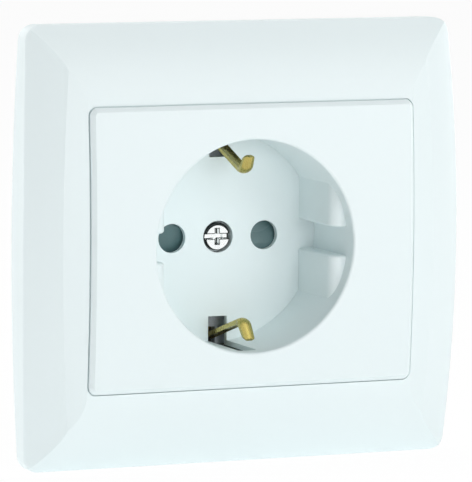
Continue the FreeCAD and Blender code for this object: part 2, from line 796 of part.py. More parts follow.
def clip_nose(knee_z, tip_y, tip_z, knee_y):
    """What the clip's tapered and rounded nose leaves of the strip above its knee."""
    low_z = knee_z + strap_thickness
    front = tip_y - strap_thickness - clip_dish
    half, tip_half = clip_width / 2, clip_tip_width / 2
    corners = [(-half, low_z), (half, low_z), (tip_half, tip_z), (-tip_half, tip_z)]
    wire = Part.makePolygon([Vector(x, front, z) for x, z in corners + corners[:1]])
    plan = Part.Face(wire).extrude(Vector(0, knee_y - front, 0))
    tip = [e for e in plan.Edges if is_along(e, Vector(0, 1, 0)) and e.CenterOfMass.z > tip_z - same]
    plan = plan.makeFillet(clip_tip_round, tip)
    return block(-half - over, half + over, front, knee_y, low_z, tip_z + over).cut(plan)


def clip_waist(knee_y, root_y):
    """What is trimmed off the sides of the strip from its knee back to its root."""
    half, arm_half = clip_width / 2, clip_arm_width / 2
    corners = [(half, knee_y), (half + over, knee_y), (half + over, root_y), (arm_half, root_y),
               (arm_half, knee_y + clip_flare)]
    low_z, high_z = 0, slot_box_outer + lap
    wire = Part.makePolygon([Vector(x, y, low_z) for x, y in corners + corners[:1]])
    side = Part.Face(wire).extrude(Vector(0, 0, high_z - low_z))
    return side.fuse(mirrored(side))


def earth_clip(knee_depth, knee_z, tip_depth, tip_z):
    """A spring clip: it rises through the floor slot, leans in to its knee and turns out."""
    middle = cover_back + strap_thickness / 2
    knee_y, tip_y = plate_front + knee_depth, plate_front + tip_depth
    path = [(middle, clip_root_z - clip_root_length), (middle, clip_root_z),
            (knee_y, knee_z), (tip_y, tip_z)]
    body = dished_strip(path, strap_thickness, clip_bend, clip_width, clip_dish)
    body = body.cut(clip_waist(knee_y, cover_back + strap_thickness + over))
    return body.cut(clip_nose(knee_z, tip_y, tip_z, knee_y))


def earth_strap():
    reach = base_half_height + support_sheet + prong_stand_out
    half = strap_width / 2
    body = block(-half, half, cover_back, strap_back, -reach, reach)
    gap = clip_width / 2 + clip_slit
    prong = clip_root_z - clip_root_length + prong_clearance
    upper = earth_clip(upper_knee_depth, upper_knee_z, upper_tip_depth, upper_tip_z)
    lower = flipped(earth_clip(lower_knee_depth, lower_knee_z, lower_tip_depth, lower_tip_z))
    for side, clip in ((1, upper), (-1, lower)):
        z0, z1 = sorted((side * prong, side * (reach + over)))
        body = body.cut(block(-gap, gap, cover_back - over, strap_back + over, z0, z1))
        body = body.fuse(clip)
        root_z0, root_z1 = sorted((side * (prong - lap), side * (prong + lap)))
        body = body.fuse(block(-clip_width / 2, clip_width / 2, cover_back, strap_back,
                               root_z0, root_z1))
    body = body.cut(rod_y(0, 0, cover_back - over, strap_back + over, bush_radius + thread_clearance))
    body = body.cut(rod_y(0, terminal_z, cover_back - over, strap_back + over,
                          screw_diameter / 2 + screw_clearance))
    return body.removeSplitter()


def threaded_bush():
    body = rod_y(0, 0, cover_back, cover_back + bush_length, bush_radius)
    body = body.fuse(rod_y(0, 0, strap_back, strap_back + bush_collar, bush_collar_radius))
    return body.cut(rod_y(0, 0, cover_back - over, cover_back + bush_length + over,
                          screw_diameter / 2 + thread_clearance)).removeSplitter()


def support_slot(z):
    half = box_slot_width / 2
    straight = box_slot_length / 2 - half
    slot = block(-half, half, -support_sheet - over, over, z - straight, z + straight)
    for end in (-straight, straight):
        slot = slot.fuse(rod_y(0, z + end, -support_sheet - over, over, half))
    return slot


def support_plate():
    front = -support_sheet
    body = rounded_block(support_width, support_height, front, 0, support_corner)
    rim = rounded_block(support_width, support_height, front - support_rim_height, front,
                        support_corner)
    rim = rim.cut(rounded_block(support_width - 2 * support_sheet, support_height - 2 * support_sheet,
                                front - support_rim_height - over, front + over,
                                support_corner - support_sheet))
    body = body.fuse(rim)
    body = body.cut(rod_y(0, 0, front - over, over, support_opening))
    half_leg = support_leg_width / 2
    outer = base_half_height + support_sheet
    gap = strap_width / 2 + prong_clearance
    inner_gap = clip_width / 2 + clip_slit - prong_clearance
    for side in (-1, 1):
        z0, z1 = sorted((0, side * outer))
        body = body.cut(block(-half_leg - support_leg_relief, half_leg + support_leg_relief,
                              front - over, over, z0, z1))
        leg_z0, leg_z1 = sorted((side * base_half_height, side * outer))
        leg = block(-half_leg, half_leg, front, support_leg_length, leg_z0, leg_z1)
        feet = [e for e in leg.Edges if is_along(e, Vector(0, 0, 1))
                and e.CenterOfMass.y > support_leg_length - same]
        leg = leg.makeFillet(support_leg_corner, feet)
        neck_z0, neck_z1 = sorted((side * base_half_height, side * (outer + support_leg_relief)))
        body = body.fuse(leg).fuse(block(-half_leg, half_leg, front, 0, neck_z0, neck_z1))
        for hand in (-1, 1):
            x0, x1 = sorted((hand * inner_gap, hand * gap))
            body = body.cut(block(x0, x1, cover_back, strap_back, leg_z0 - over, leg_z1 + over))
        body = body.cut(rod_z(0, rivet_y, leg_z0 - over, leg_z1 + over, rivet_diameter / 2))
        body = body.cut(support_slot(side * box_screw_spacing / 2))
        body = body.cut(rod_y(side * claw_x, 0, front - over, over,
                              claw_screw_diameter / 2 + screw_clearance))
    return body.removeSplitter()


def frame_rivets():
    rivets = []
    face = base_half_height + support_sheet
    for side in (-1, 1):
        tip = face - rivet_grip
        shank = rod_z(0, rivet_y, tip, face, rivet_diameter / 2)
        head = rod_z(0, rivet_y, face, face + rivet_head_height, rivet_head_diameter / 2)
        top = [e for e in head.Edges if e.Closed and e.CenterOfMass.z > face + same]
        rivet = shank.fuse(head.makeFillet(rivet_head_round, top)).removeSplitter()
        rivets.append(rivet if side > 0 else flipped(rivet))
    return Part.makeCompound(rivets)


def claw_screw_right():
    front = -support_sheet
    head = slotted_head(claw_x, 0, front - claw_screw_head_height, front, claw_screw_head / 2,
                        terminal_slot_width, terminal_slot_depth, 0, 0)
    shank = rod_y(claw_x, 0, front, front + claw_screw_length, claw_screw_diameter / 2)
    return head.fuse(shank).removeSplitter()


def claw_nut_right():
    """A barrel nut with a trunnion at each end for the claw's cheeks."""
    half = claw_half_inside - claw_nut_clearance
    reach = claw_half_inside + claw_sheet + claw_trunnion_stand_out
    body = rod_z(claw_x, claw_nut_y, -half, half, claw_nut_radius)
    body = body.fuse(rod_z(claw_x, claw_nut_y, -reach, reach, claw_trunnion_radius))
    bore = rod_y(claw_x, 0, claw_nut_y - claw_nut_radius - over, claw_nut_y + claw_nut_radius + over,
                 claw_screw_diameter / 2 + claw_running)
    return body.cut(bore).removeSplitter()


def claw_cheek(z0):
    """One side of the claw, from its round heel to its tip."""
    tip_y = claw_nut_y - claw_reach
    outer = claw_x + claw_out
    nose = outer - claw_nose_width
    points = [(claw_x - claw_heel_radius, claw_nut_y), (nose - claw_nose_back, tip_y + claw_nose_slope),
              (nose, tip_y), (outer, tip_y), (outer, claw_nut_y - claw_heel_radius / 2),
              (claw_x + claw_shoulder_x, claw_nut_y + claw_shoulder_y)]
    wire = Part.makePolygon([Vector(x, y, z0) for x, y in points + points[:1]])
    body = Part.Face(wire).extrude(Vector(0, 0, claw_sheet))
    body = body.fuse(rod_z(claw_x, claw_nut_y, z0, z0 + claw_sheet, claw_heel_radius))
    return body.cut(rod_z(claw_x, claw_nut_y, z0 - over, z0 + claw_sheet + over,
                          claw_trunnion_radius + claw_running))


def claw_right():
    """Two cheeks and a toothed web, folded from one steel sheet."""
    outer_half = claw_half_inside + claw_sheet
    tip_y = claw_nut_y - claw_reach
    outer = claw_x + claw_out
    body = claw_cheek(claw_half_inside).fuse(claw_cheek(-outer_half))
    body = body.fuse(block(outer - claw_sheet, outer, tip_y, tip_y + claw_web_length,
                           -outer_half, outer_half))
    for index in range(claw_tooth_count):
        y = tip_y + index * claw_tooth_pitch
        tooth = Part.makePolygon([Vector(outer, y, -outer_half),
                                  Vector(outer + claw_tooth, y + claw_tooth / 2, -outer_half),
                                  Vector(outer, y + claw_tooth_pitch, -outer_half),
                                  Vector(outer, y, -outer_half)])
        body = body.fuse(Part.Face(tooth).extrude(Vector(0, 0, 2 * outer_half)))
    return body.removeSplitter()


def save(name, shape):
    shape.exportStep(os.path.join("parts", name + ".step"))
    print(name, "valid" if shape.isValid() else "NOT VALID", "solids", len(shape.Solids),
          "volume", round(shape.Volume, 2))


def main():
    os.makedirs("parts", exist_ok=True)
    single = {"cover_frame": cover_frame(), "centre_plate": centre_plate(),
              "cover_screw": cover_screw(), "shutter": shutter(),
              "shutter_spring": shutter_spring(), "contact_cover": contact_cover(),
              "base_housing": base_housing(), "earth_strap": earth_strap(),
              "threaded_bush": threaded_bush(), "support_plate": support_plate(),
              "frame_rivets": frame_rivets(),
              "earth_clamp": clamp_plate(0, terminal_z, strap_back),
              "earth_screw": terminal_screw(0, terminal_z)}
    for name, shape in single.items():
        save(name, shape)
    paired = {"contact": contact_right(), "claw": claw_right(), "claw_nut": claw_nut_right(),
              "claw_screw": claw_screw_right(),
              "terminal_clamp": clamp_plate(terminal_x, -terminal_z, shoulder_back),
              "terminal_screw": terminal_screw(terminal_x, -terminal_z)}
    for name, shape in paired.items():
        for side in SIDES:
            save(name + "_" + side, shape if side == "right" else mirrored(shape))


main()
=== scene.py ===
import json
import math

import bmesh
import bpy
from mathutils import Matrix, Vector


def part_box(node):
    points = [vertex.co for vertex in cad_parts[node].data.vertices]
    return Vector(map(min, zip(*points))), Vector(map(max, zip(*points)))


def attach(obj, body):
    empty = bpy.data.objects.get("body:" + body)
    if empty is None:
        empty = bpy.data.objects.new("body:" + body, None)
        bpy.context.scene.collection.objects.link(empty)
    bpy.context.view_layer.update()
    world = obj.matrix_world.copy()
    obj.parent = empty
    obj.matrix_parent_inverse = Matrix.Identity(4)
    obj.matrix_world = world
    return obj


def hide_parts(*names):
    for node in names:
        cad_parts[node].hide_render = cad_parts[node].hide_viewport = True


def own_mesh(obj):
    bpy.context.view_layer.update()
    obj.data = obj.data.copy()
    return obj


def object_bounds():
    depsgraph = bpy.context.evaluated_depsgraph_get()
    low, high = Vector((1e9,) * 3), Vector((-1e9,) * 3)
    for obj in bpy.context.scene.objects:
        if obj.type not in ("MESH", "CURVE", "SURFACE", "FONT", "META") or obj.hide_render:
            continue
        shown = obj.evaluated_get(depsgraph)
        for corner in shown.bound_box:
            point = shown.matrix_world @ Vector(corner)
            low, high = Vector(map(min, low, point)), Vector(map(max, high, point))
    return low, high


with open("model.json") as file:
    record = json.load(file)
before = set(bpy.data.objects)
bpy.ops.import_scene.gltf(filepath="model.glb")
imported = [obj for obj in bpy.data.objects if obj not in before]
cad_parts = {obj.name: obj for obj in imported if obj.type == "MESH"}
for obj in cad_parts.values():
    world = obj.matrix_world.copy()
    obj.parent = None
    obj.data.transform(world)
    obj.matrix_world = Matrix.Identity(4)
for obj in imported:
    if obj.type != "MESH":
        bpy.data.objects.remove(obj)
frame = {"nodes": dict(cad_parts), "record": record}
cad_box = [list(corner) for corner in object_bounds()]

# Camera, fitted to the photograph's pin holes, well rim, plate gap and frame outline
CAMERA_YAW = math.radians(23.409)
CAMERA_PITCH = math.radians(6.398)
CAMERA_ROLL = math.radians(0.456)
CAMERA_DISTANCE = 0.866672
CAMERA_TARGET = Vector((-0.004196, -0.0118, 0.001264))
FOCAL_LENGTH_PIXELS = 4659.97
PICTURE_LONG_SIDE = 482
SENSOR_WIDTH = 36.0

# Light: each lamp's name, place, width and height, and power
WHITE = (1.0, 1.0, 1.0)
AMBIENT_LEVEL = 0.1
LAMPS = [
    ("front_right", (0.363, -0.473, 0.063), (0.3, 0.16), 0.36),
    ("front_level", (0.0, -0.895, 0.094), (0.4, 0.2), 1.55),
    ("front_high", (0.157, -0.586, 0.35), (0.4, 0.3), 0.88),
    ("front_steep", (0.117, -0.435, 0.536), (0.4, 0.3), 0.37),
    ("side_left", (-0.551, 0.223, 0.084), (0.3, 0.3), 1.54),
    ("side_right", (0.56, 0.2, 0.084), (0.3, 0.3), 0.74),
    ("top", (0.0, 0.0835, 0.594), (0.6, 0.3), 0.44),
    ("top_rear", (0.0, 0.185, 0.571), (0.5, 0.3), 1.23),
    ("rear", (-0.3, 0.95, 0.35), (0.6, 0.5), 1.0),
]

# Floor: pale and faintly glowing, and nearly white to the camera
FLOOR_SIZE = 6.0
FLOOR_COLOUR = (0.9, 0.9, 0.9)
FLOOR_GLOW = 0.28
FLOOR_SHOWN = 1.0
FLOOR_WHITE_SHARE = 0.95

# The shutter's spring, and the pitch of its closed end turns, in wire widths
SPRING_WIRE = 0.00035
SPRING_SIDES = 12
SPRING_STEPS = 36
SPRING_END_TURNS = 1
SPRING_ACTIVE_TURNS = 6
SPRING_CLOSED_PITCH = 1.05

# Threads. Spare turns are cut off, and the run-in isn't a whole step, so no corner lies on a cut
THREAD_PITCH = 0.0005
THREAD_DEPTH = 0.0003
THREAD_STEPS = 32
THREAD_RUN_IN = 2.02
THREAD_SPARE_TURNS = 4
CLAW_THREAD_RADIUS = 0.00149
CLAW_NECK_END = 0.0006
SHARP_EDGE = math.radians(30)
MERGE_DISTANCE = 0.000001

# Finishes: noise scales count per metre, relief is given in millimetres
MILLIMETRE = 0.001
NOISE_LOW = 0.2
NOISE_HIGH = 0.8
TONE_DRIFT_SCALE = 30.0
POLISH_SCALE = 60.0
SPECKLE_SCALE = 5200.0
SPECKLE_RELIEF = 0.15
DRAWN_LINE_SCALE = 1400.0
TARNISH_SCALE = 260.0
METAL_ROUGHNESS = 0.6
FRONT_FACING = -0.7
# colour of the painted shade on the cover screw's head, round its rim and along its slot and cross
SCREW_SHADE_BLACK = (0.02, 0.025, 0.025)
# colour of the painted shade deep in the earth slots and in the corners of their outer walls
EARTH_SLOT_SHADE = (0.06, 0.08, 0.085)

# The colour sockets of a mix node: its factor, first and second colour, and its result
MIX_FACTOR = 0
MIX_FIRST = 6
MIX_SECOND = 7
MIX_RESULT = 2


def aimed(location):
    """The matrix of a lamp at a place, shining on the middle of the socket."""
    turn = (-Vector(location)).to_track_quat("-Z", "Y")
    return Matrix.Translation(location) @ turn.to_matrix().to_4x4()


def make_camera():
    data = bpy.data.cameras.new("camera")
    data.sensor_width = SENSOR_WIDTH
    data.lens = FOCAL_LENGTH_PIXELS / PICTURE_LONG_SIDE * SENSOR_WIDTH
    camera = bpy.data.objects.new("camera", data)
    bpy.context.scene.collection.objects.link(camera)
    back = Vector((-math.sin(CAMERA_YAW) * math.cos(CAMERA_PITCH),
                   -math.cos(CAMERA_YAW) * math.cos(CAMERA_PITCH), math.sin(CAMERA_PITCH)))
    level_right = (-back).cross(Vector((0, 0, 1))).normalized()
    level_up = level_right.cross(-back)
    right = math.cos(CAMERA_ROLL) * level_right + math.sin(CAMERA_ROLL) * level_up
    up = back.cross(right)
    turn = Matrix((right, up, back)).transposed().to_4x4()
    camera.matrix_world = Matrix.Translation(CAMERA_TARGET + back * CAMERA_DISTANCE) @ turn
    bpy.context.scene.camera = camera


def make_lamp(name, location, size, power):
    data = bpy.data.lights.new(name, "AREA")
    data.shape = "RECTANGLE"
    data.size, data.size_y = size
    data.energy = power
    lamp = bpy.data.objects.new(name, data)
    bpy.context.scene.collection.objects.link(lamp)
    lamp.matrix_world = aimed(location)


def node(tree, kind, **settings):
    made = tree.nodes.new(kind)
    for name, value in settings.items():
        setattr(made, name, value)
    return made


def link(tree, source, target):
    tree.links.new(source, target)


def feed(tree, value, socket):
    """Gives an input socket a number, a colour or another socket's output."""
    if isinstance(value, (int, float)):
        socket.default_value = value
    elif isinstance(value, tuple):
        socket.default_value = (*value, 1.0)
    else:
        link(tree, value, socket)


def show_ray_mask(tree):
    """1 for rays from the camera, and for reflected and refracted ones."""
    path = node(tree, "ShaderNodeLightPath")
    total = path.outputs["Is Camera Ray"]
    for name in ("Is Glossy Ray", "Is Transmission Ray"):
        larger = node(tree, "ShaderNodeMath", operation="MAXIMUM")
        link(tree, total, larger.inputs[0])
        link(tree, path.outputs[name], larger.inputs[1])
        total = larger.outputs[0]
    return total


def mix_shaders(tree, amount, lit, shown, output):
    """Shows one shader to the rays of the mask, and lights the scene with the other."""
    mix = node(tree, "ShaderNodeMixShader")
    link(tree, amount, mix.inputs["Fac"])
    link(tree, lit.outputs[0], mix.inputs[1])
    link(tree, shown.outputs[0], mix.inputs[2])
    link(tree, mix.outputs[0], node(tree, output).inputs["Surface"])


def make_world():
    world = bpy.data.worlds.new("studio")
    bpy.context.scene.world = world
    world.use_nodes = True
    tree = world.node_tree
    tree.nodes.clear()
    lit = node(tree, "ShaderNodeBackground")
    feed(tree, WHITE, lit.inputs["Color"])
    feed(tree, AMBIENT_LEVEL, lit.inputs["Strength"])
    shown = node(tree, "ShaderNodeBackground")
    feed(tree, WHITE, shown.inputs["Color"])
    mix_shaders(tree, show_ray_mask(tree), lit, shown, "ShaderNodeOutputWorld")


def floor_material():
    material = bpy.data.materials.new("pale_floor")
    material.use_nodes = True
    tree = material.node_tree
    tree.nodes.clear()
    matte = node(tree, "ShaderNodeBsdfDiffuse")
    feed(tree, FLOOR_COLOUR, matte.inputs["Color"])
    glow = node(tree, "ShaderNodeEmission")
    feed(tree, FLOOR_GLOW, glow.inputs["Strength"])
    lit = node(tree, "ShaderNodeAddShader")
    link(tree, matte.outputs[0], lit.inputs[0])
    link(tree, glow.outputs[0], lit.inputs[1])
    shown = node(tree, "ShaderNodeEmission")
    feed(tree, FLOOR_SHOWN, shown.inputs["Strength"])
    share = arithmetic(tree, "MULTIPLY", show_ray_mask(tree), FLOOR_WHITE_SHARE)
    mix_shaders(tree, share, lit, shown, "ShaderNodeOutputMaterial")
    return material


def make_floor():
    mesh = bpy.data.meshes.new("floor")
    half = FLOOR_SIZE / 2
    level = cad_box[0][2]
    corners = [(-half, -half, level), (half, -half, level), (half, half, level), (-half, half, level)]
    mesh.from_pydata(corners, [], [(0, 1, 2, 3)])
    mesh.materials.append(floor_material())
    floor = bpy.data.objects.new("floor", mesh)
    bpy.context.scene.collection.objects.link(floor)


def socket_group(name, inputs, outputs):
    """An empty shader group with its sockets, and its input and output nodes."""
    group = bpy.data.node_groups.new(name, "ShaderNodeTree")
    for label, kind, value in inputs:
        made = group.interface.new_socket(name=label, in_out="INPUT", socket_type=kind)
        if value is not None:
            made.default_value = value
    for label, kind in outputs:
        group.interface.new_socket(name=label, in_out="OUTPUT", socket_type=kind)
    return group, node(group, "NodeGroupInput"), node(group, "NodeGroupOutput")


def noise(tree, vector, scale, detail=2.0, roughness=0.5):
    made = node(tree, "ShaderNodeTexNoise")
    feed(tree, scale, made.inputs["Scale"])
    feed(tree, detail, made.inputs["Detail"])
    feed(tree, roughness, made.inputs["Roughness"])
    link(tree, vector, made.inputs["Vector"])
    return made.outputs["Fac"]


def arithmetic(tree, operation, *values):
    made = node(tree, "ShaderNodeMath", operation=operation)
    for socket, value in zip(made.inputs, values):
        feed(tree, value, socket)
    return made.outputs[0]


def spread(tree, value, low, high):
    """Noise, which mostly stays between two levels, carried to low to high."""
    made = node(tree, "ShaderNodeMapRange")
    for name, end in (("Value", value), ("From Min", NOISE_LOW), ("From Max", NOISE_HIGH),
                      ("To Min", low), ("To Max", high)):
        feed(tree, end, made.inputs[name])
    return made.outputs["Result"]


def mixed(tree, amount, first, second):
    made = node(tree, "ShaderNodeMix", data_type="RGBA")
    for place, value in ((MIX_FACTOR, amount), (MIX_FIRST, first), (MIX_SECOND, second)):
        feed(tree, value, made.inputs[place])
    return made.outputs[MIX_RESULT]


def moulded_skin_group():
    """Moulded plastic: soft tone drift, a gloss that varies and a faint orange peel."""
    group, given, made = socket_group("moulded_skin", [
        ("Vector", "NodeSocketVector", None), ("Colour", "NodeSocketColor", None),
        ("Drift Colour", "NodeSocketColor", None), ("Smoothest", "NodeSocketFloat", 0.2),
        ("Roughest", "NodeSocketFloat", 0.3), ("Peel Scale", "NodeSocketFloat", 900.0),
        ("Speckle", "NodeSocketFloat", 0.0)],
        [("Colour", "NodeSocketColor"), ("Roughness", "NodeSocketFloat"), ("Height", "NodeSocketFloat")])
    place = given.outputs["Vector"]
    drift = noise(group, place, TONE_DRIFT_SCALE, detail=1.0)
    tone = mixed(group, spread(group, drift, 0.0, 1.0), given.outputs["Colour"],
                 given.outputs["Drift Colour"])
    fine = noise(group, place, SPECKLE_SCALE, detail=1.0)
    speck = arithmetic(group, "MULTIPLY", spread(group, fine, -0.5, 0.5), given.outputs["Speckle"])
    speckled = node(group, "ShaderNodeHueSaturation")
    link(group, arithmetic(group, "ADD", speck, 1.0), speckled.inputs["Value"])
    link(group, tone, speckled.inputs["Color"])
    peel = noise(group, place, given.outputs["Peel Scale"])
    polish = spread(group, noise(group, place, POLISH_SCALE, detail=1.0), given.outputs["Smoothest"],
                    given.outputs["Roughest"])
    height = arithmetic(group, "ADD", peel, arithmetic(group, "MULTIPLY", fine, SPECKLE_RELIEF))
    link(group, speckled.outputs[0], made.inputs["Colour"])
    link(group, polish, made.inputs["Roughness"])
    link(group, height, made.inputs["Height"])
    return group


def drawn_metal_group():
    """Rolled or drawn metal: lines along the stock, patches of tarnish and a varying polish."""
    group, given, made = socket_group("drawn_metal", [
        ("Vector", "NodeSocketVector", None), ("Colour", "NodeSocketColor", None),
        ("Tarnish Colour", "NodeSocketColor", None), ("Tarnish", "NodeSocketFloat", 0.3),
        ("Smoothest", "NodeSocketFloat", 0.2), ("Roughest", "NodeSocketFloat", 0.4)],
        [("Colour", "NodeSocketColor"), ("Roughness", "NodeSocketFloat"), ("Height", "NodeSocketFloat")])
    place = given.outputs["Vector"]
    lines = noise(group, place, DRAWN_LINE_SCALE, detail=3.0, roughness=METAL_ROUGHNESS)
    patches = noise(group, place, TARNISH_SCALE, detail=4.0, roughness=METAL_ROUGHNESS)
    amount = arithmetic(group, "MULTIPLY", spread(group, patches, 0.0, 1.0), given.outputs["Tarnish"])
    tone = mixed(group, amount, given.outputs["Colour"], given.outputs["Tarnish Colour"])
    polish = spread(group, lines, given.outputs["Smoothest"], given.outputs["Roughest"])
    link(group, tone, made.inputs["Colour"])
    link(group, polish, made.inputs["Roughness"])
    link(group, lines, made.inputs["Height"])
    return group


def screw_shade_group():
    """Masks painted shade along the edges of a slot and cross, and a painted shadow round the rim, of a
    screw head that faces -Y.
    """
    group, given, made = socket_group("screw_shade", [
        ("Vector", "NodeSocketVector", None), ("Slot Half", "NodeSocketFloat", 0.0005),
        ("Arm Half", "NodeSocketFloat", 0.0004), ("Arm Reach", "NodeSocketFloat", 0.0015),
        ("Unshaded Centre", "NodeSocketVector", (0.0001, 0.0, -0.0002)),
        ("Unshaded Reach", "NodeSocketFloat", 0.0023), ("Head Reach", "NodeSocketFloat", 0.004),
        ("Line", "NodeSocketFloat", 0.00014)],
        [("Mask", "NodeSocketFloat")])
    place = node(group, "ShaderNodeSeparateXYZ")
    link(group, given.outputs["Vector"], place.inputs[0])
    across = arithmetic(group, "ABSOLUTE", place.outputs["X"])
    up = arithmetic(group, "ABSOLUTE", place.outputs["Z"])
    slot = arithmetic(group, "SUBTRACT", up, given.outputs["Slot Half"])
    arm = arithmetic(group, "MAXIMUM", arithmetic(group, "SUBTRACT", across, given.outputs["Arm Half"]),
                     arithmetic(group, "SUBTRACT", up, given.outputs["Arm Reach"]))
    depth = arithmetic(group, "MINIMUM", slot, arm)
    edge = arithmetic(group, "LESS_THAN", arithmetic(group, "ABSOLUTE", depth), given.outputs["Line"])
    shifted = node(group, "ShaderNodeVectorMath", operation="SUBTRACT")
    link(group, given.outputs["Vector"], shifted.inputs[0])
    link(group, given.outputs["Unshaded Centre"], shifted.inputs[1])
    level = node(group, "ShaderNodeVectorMath", operation="MULTIPLY")
    link(group, shifted.outputs[0], level.inputs[0])
    level.inputs[1].default_value = (1.0, 0.0, 1.0)
    radius = node(group, "ShaderNodeVectorMath", operation="LENGTH")
    link(group, level.outputs[0], radius.inputs[0])
    rim = arithmetic(group, "GREATER_THAN", radius.outputs["Value"], given.outputs["Unshaded Reach"])
    facing = node(group, "ShaderNodeSeparateXYZ")
    link(group, node(group, "ShaderNodeNewGeometry").outputs["Normal"], facing.inputs[0])
    front = arithmetic(group, "LESS_THAN", facing.outputs["Y"], FRONT_FACING)
    dark = arithmetic(group, "MAXIMUM", arithmetic(group, "MULTIPLY", edge, front), rim)
    head = arithmetic(group, "LESS_THAN", radius.outputs["Value"], given.outputs["Head Reach"])
    link(group, arithmetic(group, "MULTIPLY", dark, head), made.inputs["Mask"])
    return group


def earth_slot_shade_group():
    """Masks painted shade at the deep end and in the corners of the outer wall of both earth slots."""
    group, given, made = socket_group("earth_slot_shade", [
        ("Vector", "NodeSocketVector", None), ("Wall From", "NodeSocketFloat", 0.0209),
        ("Wall To", "NodeSocketFloat", 0.0213), ("Half Width", "NodeSocketFloat", 0.002),
        ("Corner From", "NodeSocketFloat", 0.0015), ("Slot Start", "NodeSocketFloat", -0.0078),
        ("Unshaded Depth", "NodeSocketFloat", 0.003), ("Full Shade Depth", "NodeSocketFloat", 0.0036)],
        [("Mask", "NodeSocketFloat")])
    place = node(group, "ShaderNodeSeparateXYZ")
    link(group, given.outputs["Vector"], place.inputs[0])
    across = arithmetic(group, "ABSOLUTE", place.outputs["X"])
    up = arithmetic(group, "ABSOLUTE", place.outputs["Z"])
    wall = arithmetic(group, "MULTIPLY", arithmetic(group, "GREATER_THAN", up, given.outputs["Wall From"]),
                      arithmetic(group, "LESS_THAN", up, given.outputs["Wall To"]))
    inside = arithmetic(group, "LESS_THAN", across, given.outputs["Half Width"])
    deep = node(group, "ShaderNodeMapRange")
    link(group, place.outputs["Y"], deep.inputs["Value"])
    link(group, given.outputs["Unshaded Depth"], deep.inputs["From Min"])
    link(group, given.outputs["Full Shade Depth"], deep.inputs["From Max"])
    corner = arithmetic(group, "GREATER_THAN", across, given.outputs["Corner From"])
    shaded_part = arithmetic(group, "MAXIMUM", corner, deep.outputs["Result"])
    begun = arithmetic(group, "GREATER_THAN", place.outputs["Y"], given.outputs["Slot Start"])
    reach = arithmetic(group, "MULTIPLY", arithmetic(group, "MULTIPLY", wall, inside), begun)
    link(group, arithmetic(group, "MULTIPLY", reach, shaded_part), made.inputs["Mask"])
    return group


GROUPS = {"moulded_skin": moulded_skin_group(), "drawn_metal": drawn_metal_group(),
          "screw_shade": screw_shade_group(), "earth_slot_shade": earth_slot_shade_group()}


def finish_with(name, group_name, values, relief, stretch=(1.0, 1.0, 1.0), **surface):
    """A material whose colour, gloss and relief come from a shared group."""
    material = bpy.data.materials.new(name)
    material.use_nodes = True
    tree = material.node_tree
    shader = tree.nodes["Principled BSDF"]
    place = node(tree, "ShaderNodeTexCoord")
    mapping = node(tree, "ShaderNodeMapping")
    mapping.inputs["Scale"].default_value = stretch
    link(tree, place.outputs["Object"], mapping.inputs["Vector"])
    skin = node(tree, "ShaderNodeGroup", node_tree=GROUPS[group_name])
    link(tree, mapping.outputs[0], skin.inputs["Vector"])
    for label, value in values.items():
        feed(tree, value, skin.inputs[label])
    bump = node(tree, "ShaderNodeBump")
    feed(tree, relief * MILLIMETRE, bump.inputs["Distance"])
    link(tree, skin.outputs["Height"], bump.inputs["Height"])
    link(tree, skin.outputs["Colour"], shader.inputs["Base Color"])
    link(tree, skin.outputs["Roughness"], shader.inputs["Roughness"])
    link(tree, bump.outputs[0], shader.inputs["Normal"])
    for label, value in surface.items():
        feed(tree, value, shader.inputs[label])
    return material


def darken(material, group_name, colour):
    """Paints shade: lays a dark colour over a material's own where a shared mask says so."""
    tree = material.node_tree
    base = tree.nodes["Principled BSDF"].inputs["Base Color"]
    mask = node(tree, "ShaderNodeGroup", node_tree=GROUPS[group_name])
    link(tree, tree.nodes["Texture Coordinate"].outputs["Object"], mask.inputs["Vector"])
    link(tree, mixed(tree, mask.outputs["Mask"], base.links[0].from_socket, colour), base)
    return material


def white_cover():
    """White plastic, with painted shade deep in the earth slots and in the corners of their outer walls.
    """
    plastic = finish_with("white_cover", "moulded_skin",
                          {"Colour": (0.832, 0.925, 0.94), "Drift Colour": (0.84, 0.93, 0.94),
                           "Smoothest": 0.35, "Roughest": 0.39, "Peel Scale": 700.0, "Speckle": 0.01},
                          relief=0.002)
    return darken(plastic, "earth_slot_shade", EARTH_SLOT_SHADE)


def grey_shutter():
    return finish_with("grey_shutter", "moulded_skin",
                       {"Colour": (0.085, 0.165, 0.172), "Drift Colour": (0.095, 0.18, 0.187),
                        "Smoothest": 0.22, "Roughest": 0.34, "Peel Scale": 1500.0, "Speckle": 0.1},
                       relief=0.004)


def insulating_disc():
    return finish_with("insulating_disc", "moulded_skin",
                       {"Colour": (0.66, 0.74, 0.82), "Drift Colour": (0.7, 0.78, 0.86),
                        "Smoothest": 0.4, "Roughest": 0.55, "Peel Scale": 1500.0, "Speckle": 0.25},
                       relief=0.01)


def base_moulding():
    return finish_with("base_moulding", "moulded_skin",
                       {"Colour": (0.3, 0.31, 0.32), "Drift Colour": (0.34, 0.35, 0.36),
                        "Smoothest": 0.38, "Roughest": 0.52, "Peel Scale": 2200.0, "Speckle": 0.35},
                       relief=0.012)


def earth_brass():
    return finish_with("earth_brass", "drawn_metal",
                       {"Colour": (0.56, 0.48, 0.15), "Tarnish Colour": (0.27, 0.21, 0.06),
                        "Tarnish": 0.5, "Smoothest": 0.2, "Roughest": 0.34},
                       relief=0.004, stretch=(3.0, 0.6, 0.6), Metallic=1.0)


def contact_bronze():
    return finish_with("contact_bronze", "drawn_metal",
                       {"Colour": (0.78, 0.5, 0.3), "Tarnish Colour": (0.42, 0.22, 0.12),
                        "Tarnish": 0.35, "Smoothest": 0.24, "Roughest": 0.4},
                       relief=0.006, stretch=(3.0, 0.25, 0.25), Metallic=1.0)


